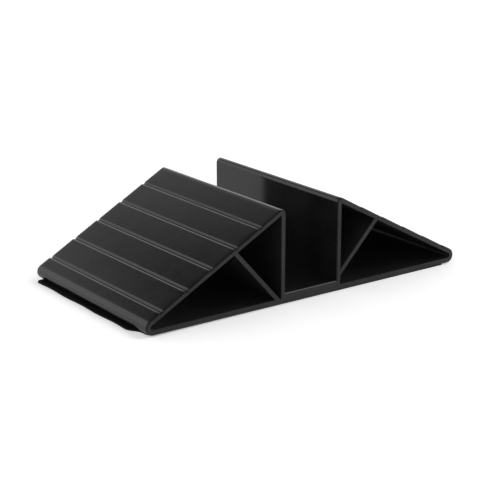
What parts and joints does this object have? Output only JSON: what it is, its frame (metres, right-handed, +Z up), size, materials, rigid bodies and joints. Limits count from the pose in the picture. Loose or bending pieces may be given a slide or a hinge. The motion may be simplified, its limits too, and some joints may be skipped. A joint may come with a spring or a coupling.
{
  "type": "threshold ramp",
  "caption": "Low double-sided ramp: two hollow ribbed ramps rising to a channel between them, on a thin grip pad.",
  "frame": {"origin": "middle of the channel and of the cut length, on the underside of the grip pad", "axes": "+X from the left ramp's nose to the right ramp's nose, +Y along the profile, +Z up"},
  "size_m": [0.1218, 0.065, 0.03],
  "materials": {
    "ramp_plastic": "satin black extruded plastic, saw-cut ends",
    "pad_rubber": "matt black thin rubber sheet"
  },
  "bodies": {
    "root": {"channel_floor": "ramp_plastic", "left_wall": "ramp_plastic", "left_deck": "ramp_plastic", "left_brace": "ramp_plastic", "left_nose": "ramp_plastic", "left_base": "ramp_plastic", "right_wall": "ramp_plastic", "right_deck": "ramp_plastic", "right_brace": "ramp_plastic", "right_nose": "ramp_plastic", "right_base": "ramp_plastic", "grip_pad": "pad_rubber"}
  },
  "joints": []
}
